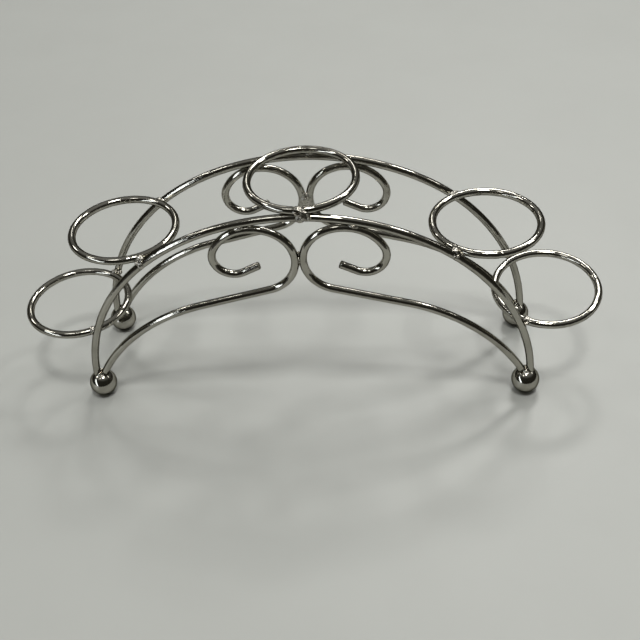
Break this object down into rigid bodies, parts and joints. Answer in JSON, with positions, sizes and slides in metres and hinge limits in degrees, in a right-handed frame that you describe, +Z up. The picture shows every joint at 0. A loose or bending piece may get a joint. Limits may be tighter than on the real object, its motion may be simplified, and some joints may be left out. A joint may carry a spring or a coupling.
{
  "type": "test tube holder",
  "caption": "Free-standing plated wire stand: twin arches on ball feet carry a row of level wire rings for test tubes, with scrolled wires curling beneath.",
  "frame": {"origin": "on the surface the feet stand on, below the middle of the stand", "axes": "+X along the row of rings to the right, +Y from the front arch to the rear arch, +Z up"},
  "size_m": [0.2115, 0.0466, 0.0827],
  "materials": {
    "plated_wire": "bright nickel plate over drawn steel wire, with fine drawing lines",
    "plated_ball": "bright nickel plate over a turned steel ball",
    "weld_metal": "uneven plated weld bead with a slight heat tint"
  },
  "bodies": {
    "root": {"arch_front": "plated_wire", "arch_rear": "plated_wire", "scroll_front_left": "plated_wire", "scroll_front_right": "plated_wire", "scroll_rear_left": "plated_wire", "scroll_rear_right": "plated_wire", "ring_lower_left": "plated_wire", "ring_upper_left": "plated_wire", "ring_top": "plated_wire", "ring_upper_right": "plated_wire", "ring_lower_right": "plated_wire", "foot_front_left": "plated_ball", "foot_front_right": "plated_ball", "foot_rear_left": "plated_ball", "foot_rear_right": "plated_ball", "weld_ring_lower_left_front": "weld_metal", "weld_ring_lower_left_rear": "weld_metal", "weld_ring_upper_left_front": "weld_metal", "weld_ring_upper_left_rear": "weld_metal", "weld_ring_top_front": "weld_metal", "weld_ring_top_rear": "weld_metal", "weld_ring_upper_right_front": "weld_metal", "weld_ring_upper_right_rear": "weld_metal", "weld_ring_lower_right_front": "weld_metal", "weld_ring_lower_right_rear": "weld_metal", "weld_middle_front": "weld_metal", "weld_middle_rear": "weld_metal", "weld_loop_front_left": "weld_metal", "weld_loop_front_right": "weld_metal", "weld_loop_rear_left": "weld_metal", "weld_loop_rear_right": "weld_metal"}
  },
  "joints": []
}
